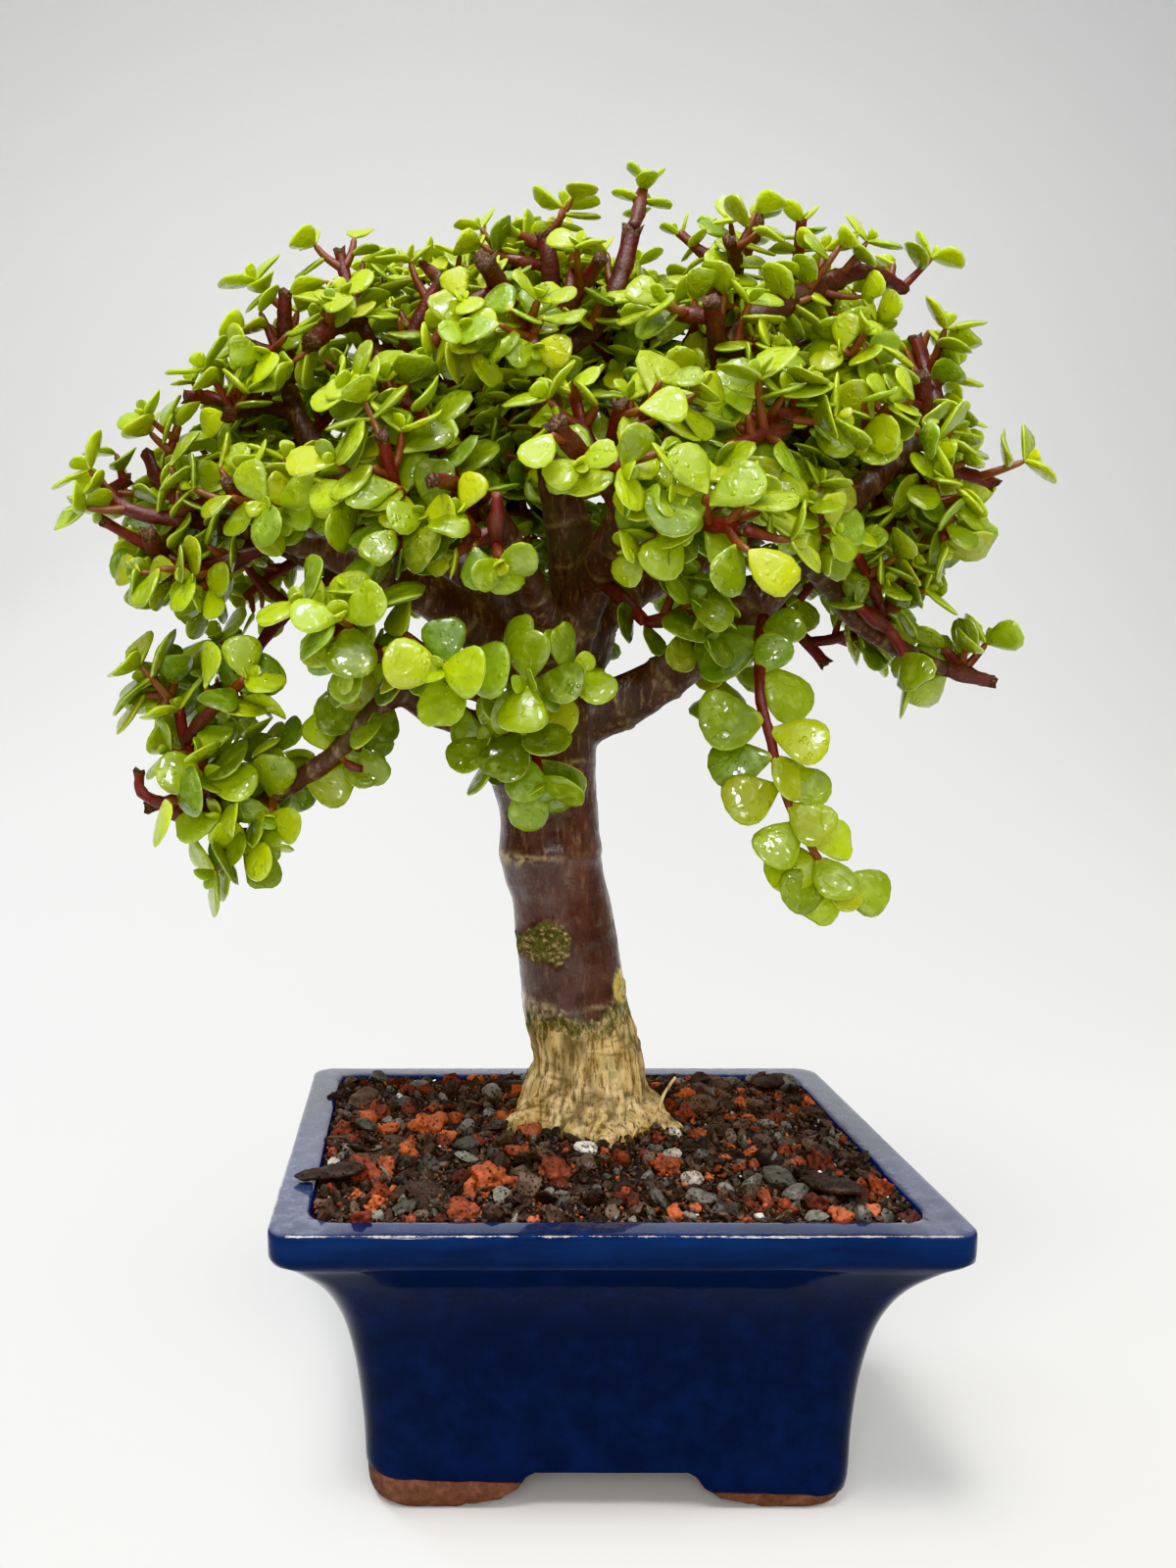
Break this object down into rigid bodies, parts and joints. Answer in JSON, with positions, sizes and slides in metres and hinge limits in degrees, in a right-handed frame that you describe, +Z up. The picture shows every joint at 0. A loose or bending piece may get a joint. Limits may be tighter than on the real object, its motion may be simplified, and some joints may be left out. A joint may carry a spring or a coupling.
{
  "type": "dwarf jade bonsai in a glazed pot",
  "caption": "Dwarf jade bonsai: a stout trunk, branching limbs and leafy branchlets, rooted in gritty soil in a footed rectangular glazed pot.",
  "frame": {"origin": "on the ground, under the middle of the whole plant's box", "axes": "+Z up, +X to the right and -Y towards the viewer, with the pot's long side across the view"},
  "size_m": [0.293, 0.2154, 0.3717],
  "materials": {
    "glaze": "gloss",
    "screen": "matte",
    "soil": "matte",
    "bark": "satin",
    "leaves": "gloss",
    "twigs": "satin",
    "bare_clay": "matte"
  },
  "bodies": {
    "root": {"pot": "glaze", "drain_screen_left": "screen", "drain_screen_right": "screen", "soil": "soil", "trunk_and_limbs": "bark", "branchlet_01": "leaves", "branchlet_02": "leaves", "branchlet_03": "leaves", "branchlet_04": "leaves", "branchlet_05": "leaves", "branchlet_06": "leaves", "branchlet_07": "leaves", "branchlet_08": "leaves", "branchlet_09": "leaves", "branchlet_10": "leaves", "branchlet_11": "leaves", "branchlet_12": "leaves", "branchlet_13": "leaves", "branchlet_14": "leaves", "branchlet_15": "leaves", "branchlet_16": "leaves", "branchlet_17": "leaves", "branchlet_18": "leaves", "branchlet_19": "leaves", "branchlet_20": "leaves", "branchlet_21": "leaves", "branchlet_22": "leaves", "branchlet_23": "leaves", "branchlet_24": "leaves", "branchlet_25": "leaves", "branchlet_26": "leaves", "branchlet_27": "leaves", "branchlet_28": "leaves", "branchlet_29": "leaves", "branchlet_30": "leaves", "branchlet_31": "leaves", "branchlet_32": "leaves", "branchlet_33": "leaves", "branchlet_34": "leaves", "branchlet_35": "leaves", "branchlet_36": "leaves", "branchlet_37": "leaves", "branchlet_38": "leaves", "branchlet_39": "leaves", "branchlet_40": "leaves", "branchlet_41": "leaves", "branchlet_42": "leaves", "branchlet_43": "leaves", "branchlet_44": "leaves", "branchlet_45": "leaves", "branchlet_46": "leaves", "branchlet_47": "leaves", "branchlet_48": "leaves", "branchlet_49": "leaves", "branchlet_50": "leaves", "branchlet_51": "leaves", "branchlet_52": "leaves", "branchlet_53": "leaves", "branchlet_54": "leaves", "branchlet_55": "leaves"}
  },
  "joints": []
}
